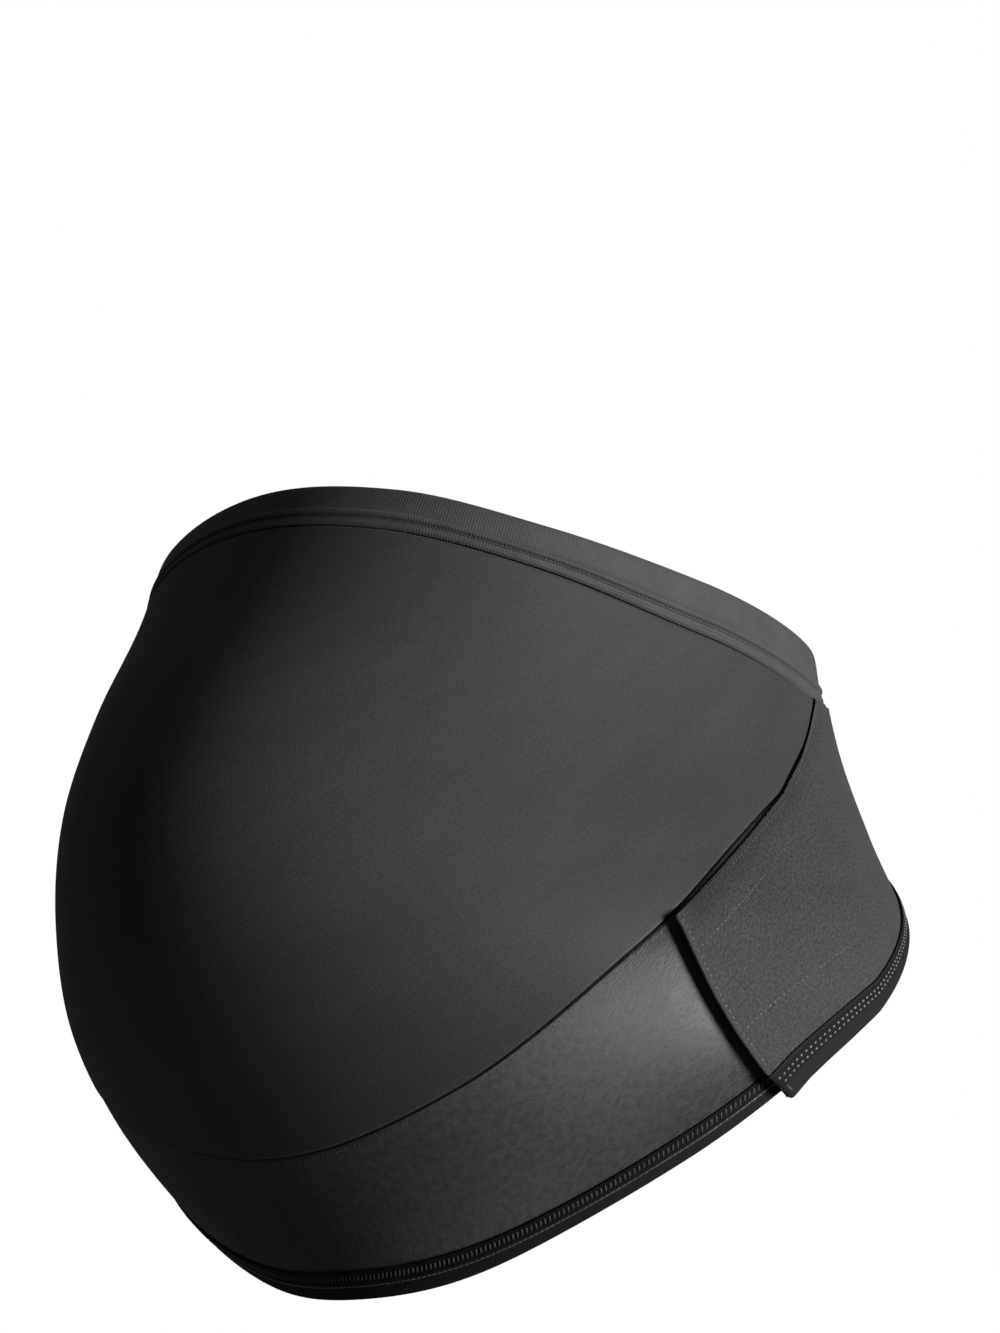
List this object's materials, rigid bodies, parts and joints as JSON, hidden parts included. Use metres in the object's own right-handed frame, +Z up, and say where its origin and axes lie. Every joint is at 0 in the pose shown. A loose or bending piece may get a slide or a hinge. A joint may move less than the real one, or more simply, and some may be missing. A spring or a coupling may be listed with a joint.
{
  "type": "maternity support belt",
  "caption": "Worn-form maternity support belt: stretch belly panel, stitched top band, support band under the belly and a ribbed back wrap closing on hook patches.",
  "frame": {"origin": "waist mount: on the middle line of the torso, at the middle of the belt's height", "axes": "+Z up the torso, -Y the wearer's front, +X the wearer's left; the belt is symmetric about the YZ plane"},
  "size_m": [0.3614, 0.3289, 0.3009],
  "materials": {
    "band_elastic": "matt folded elastic with twin stitch lines",
    "belly_stretch": "smooth matt stretch microfibre",
    "support_satin": "satin-faced power elastic",
    "edge_binding": "fold-over elastic with cover stitches",
    "wrap_ribbed": "matt ribbed wide elastic",
    "hook_tape": "dense woven hook tape"
  },
  "bodies": {
    "root": {"top_band": "band_elastic", "belly_panel": "belly_stretch", "support_band": "support_satin", "support_binding": "edge_binding", "back_wrap": "wrap_ribbed", "wrap_binding": "edge_binding", "hook_patch_left": "hook_tape", "hook_patch_right": "hook_tape"}
  },
  "joints": []
}
